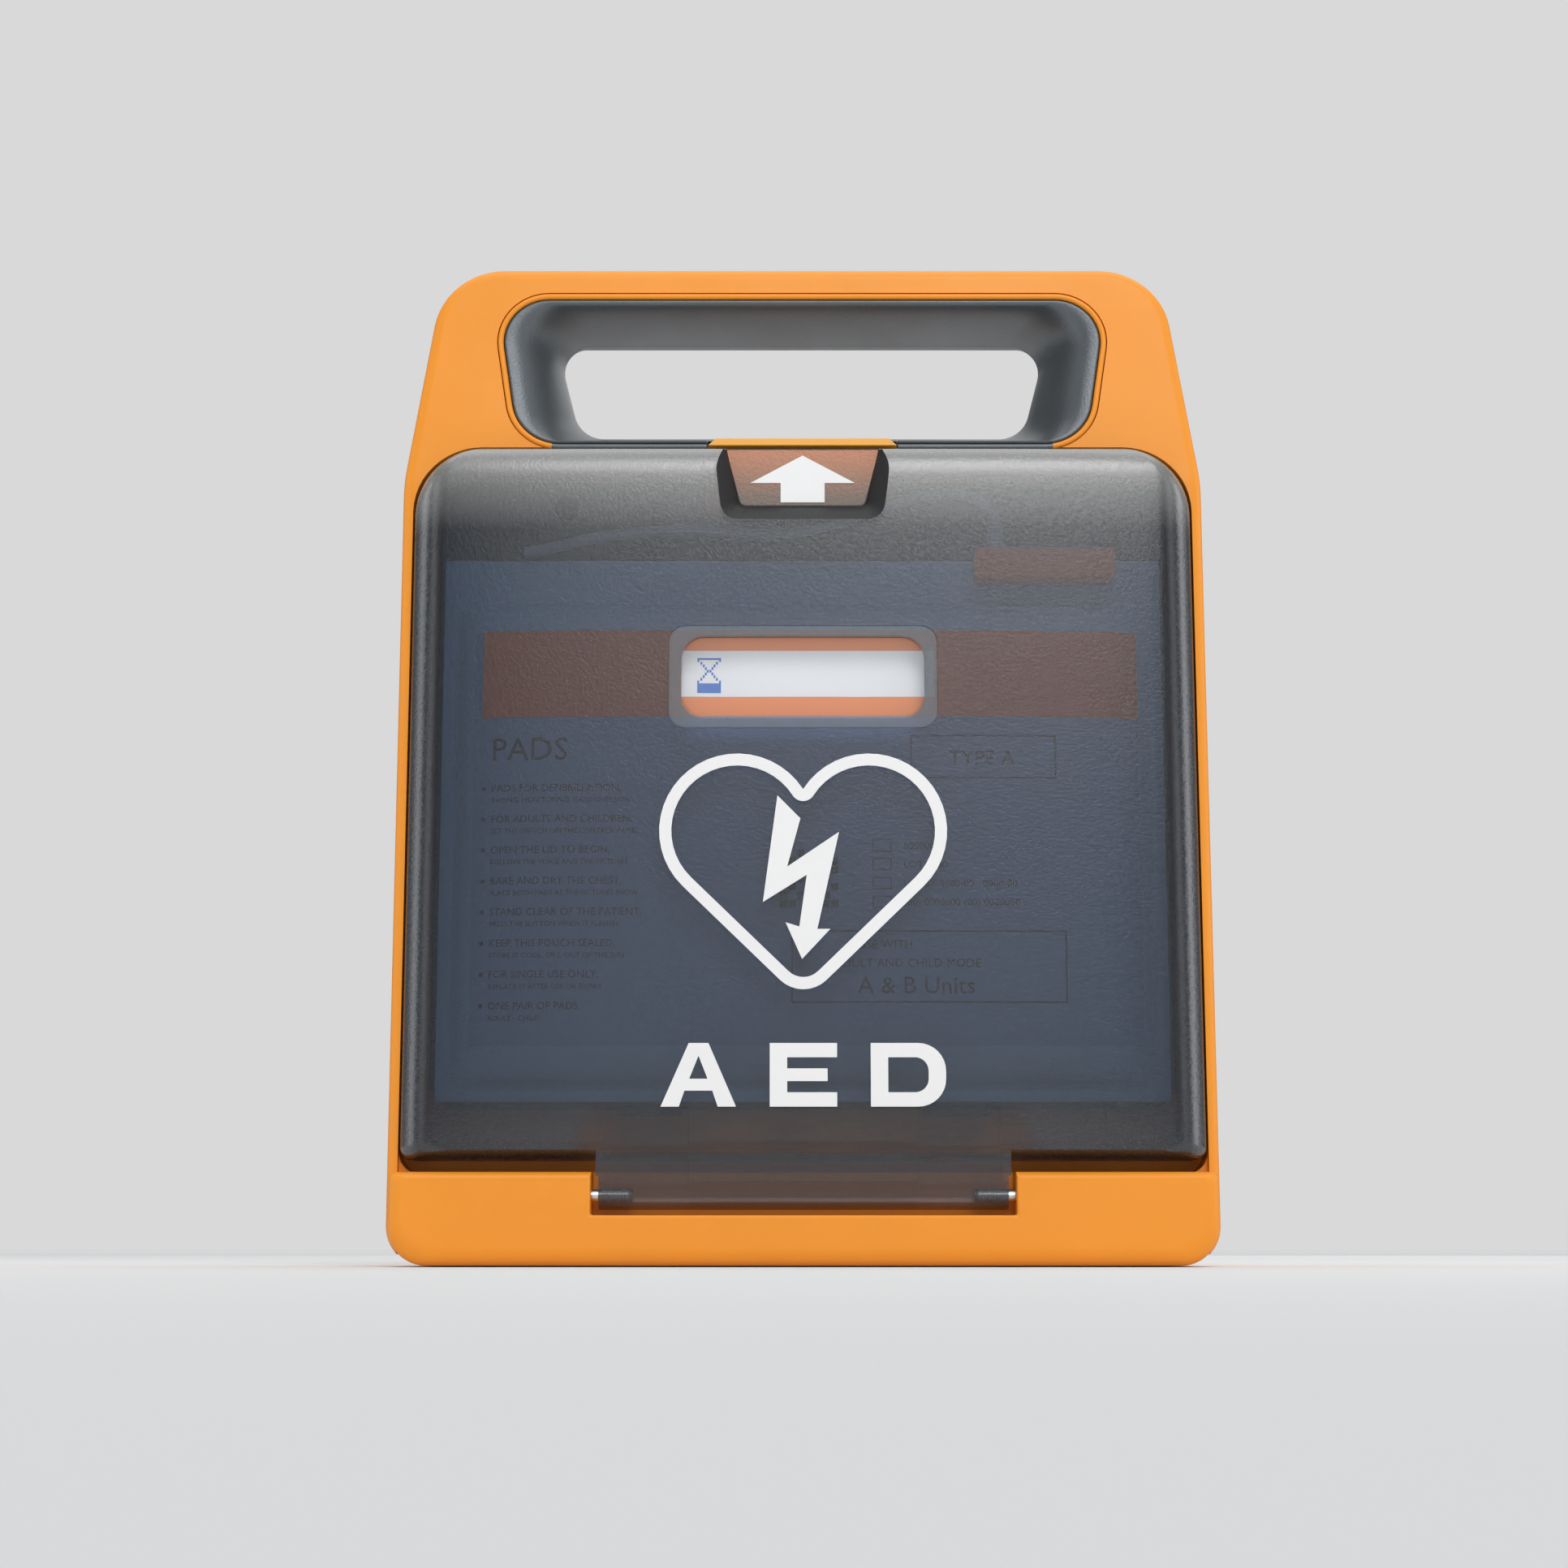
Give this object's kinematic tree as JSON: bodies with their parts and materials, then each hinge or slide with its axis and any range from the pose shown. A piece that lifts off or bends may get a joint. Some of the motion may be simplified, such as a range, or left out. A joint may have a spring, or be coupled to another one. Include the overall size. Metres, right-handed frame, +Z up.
{
  "type": "automated external defibrillator",
  "caption": "Portable automated defibrillator: orange case with carrying handle, smoked hinged lid over the pads packet and controls, sliding latch and rear battery pack.",
  "frame": {"origin": "middle of the footprint, at the height of the surface it stands on", "axes": "+X to the right, -Y out of the front with the lid, +Z up from the base to the carrying handle"},
  "size_m": [0.213, 0.078, 0.267],
  "materials": {
    "orange_shell": "fine satin",
    "black_grip": "spark-eroded texture",
    "seal_rubber": "matte",
    "steel": "brushed",
    "bumper_rubber": "matte",
    "plate_label": "laminated film",
    "panel_grey": "fine texture",
    "overlay_film": "satin film",
    "lens_green": "polished",
    "speaker_metal": "satin",
    "socket_black": "fine texture",
    "plug_orange": "satin",
    "cable_jacket": "satin",
    "pouch_foil": "coated pouch with printed label",
    "board_green": "solder mask",
    "chip_black": "matte",
    "capacitor_blue": "shrink sleeve",
    "transformer_tape": "wound tape",
    "copper_winding": "enamelled",
    "relay_white": "satin",
    "glass_tube": "polished",
    "contact_gold": "plated",
    "lid_smoke": "frosted smoked translucent",
    "window_clear": "polished clear",
    "magnet_nickel": "nickel plated",
    "print_white": "printed ink",
    "latch_orange": "satin",
    "spring_steel": "drawn wire",
    "shock_orange": "translucent satin",
    "info_blue": "satin",
    "switch_white": "satin",
    "battery_black": "fine texture",
    "cell_green": "shrink sleeve"
  },
  "bodies": {
    "case": {"front_frame": "orange_shell", "rear_shell": "orange_shell", "case_seal": "seal_rubber", "grip_insert_front": "black_grip", "grip_insert_rear": "black_grip", "hinge_pins": "steel", "case_screws": "steel", "rear_bumpers": "bumper_rubber", "rating_plate": "plate_label", "panel_plate": "panel_grey", "panel_overlay": "overlay_film", "panel_screws": "steel", "status_lens": "lens_green", "speaker_grille": "panel_grey", "speaker": "speaker_metal", "microphone": "chip_black", "pads_socket": "socket_black", "pads_plug": "plug_orange", "plug_strain_relief": "cable_jacket", "pads_cable": "cable_jacket", "cable_clips": "socket_black", "pads_packet": "pouch_foil", "packet_lugs": "socket_black", "main_board": "board_green", "board_screws": "steel", "board_chips": "chip_black", "hv_capacitor": "capacitor_blue", "transformer": "transformer_tape", "inductor": "copper_winding", "relays": "relay_white", "reed_switch": "glass_tube", "battery_contacts": "contact_gold", "latch_spring": "spring_steel", "shock_spring": "spring_steel", "info_spring": "spring_steel"},
    "lid": {"lid_shell": "lid_smoke", "lid_window": "window_clear", "lid_magnet": "magnet_nickel", "lift_arrow": "print_white", "heart_symbol": "print_white", "lid_title": "print_white"},
    "latch": {"latch_slider": "latch_orange"},
    "shock_key": {"shock_button": "shock_orange", "shock_mark": "print_white"},
    "info_key": {"info_button": "info_blue"},
    "mode_key": {"mode_switch": "switch_white"},
    "battery": {"battery_pack": "battery_black", "battery_cells": "cell_green", "battery_label": "plate_label"},
    "battery_catch": {"battery_latch": "latch_orange"}
  },
  "joints": [
    {"name": "lid_hinge", "type": "hinge", "parent": "case", "child": "lid", "pos_m": [0, -0.0334, 0.0174], "axis": [1, 0, 0], "range_deg": [0, 92]},
    {"name": "latch_slide", "type": "slide", "parent": "case", "child": "latch", "axis": [0, 0, 1], "range_m": [0, 0.0025], "stiffness_N_per_m": 400, "springref_m": -0.001, "deforming": ["latch_spring"]},
    {"name": "shock_press", "type": "slide", "parent": "case", "child": "shock_key", "axis": [0, 1, 0], "range_m": [0, 0.002], "stiffness_N_per_m": 500, "springref_m": -0.001, "deforming": ["shock_spring"]},
    {"name": "info_press", "type": "slide", "parent": "case", "child": "info_key", "axis": [0, 1, 0], "range_m": [0, 0.0015], "stiffness_N_per_m": 400, "springref_m": -0.001, "deforming": ["info_spring"]},
    {"name": "mode_slide", "type": "slide", "parent": "case", "child": "mode_key", "axis": [1, 0, 0], "range_m": [0, 0.012]},
    {"name": "battery_slide", "type": "slide", "parent": "case", "child": "battery", "axis": [0, 1, 0], "range_m": [0, 0.026]},
    {"name": "battery_catch_slide", "type": "slide", "parent": "case", "child": "battery_catch", "axis": [0, 0, 1], "range_m": [0, 0.004]}
  ]
}
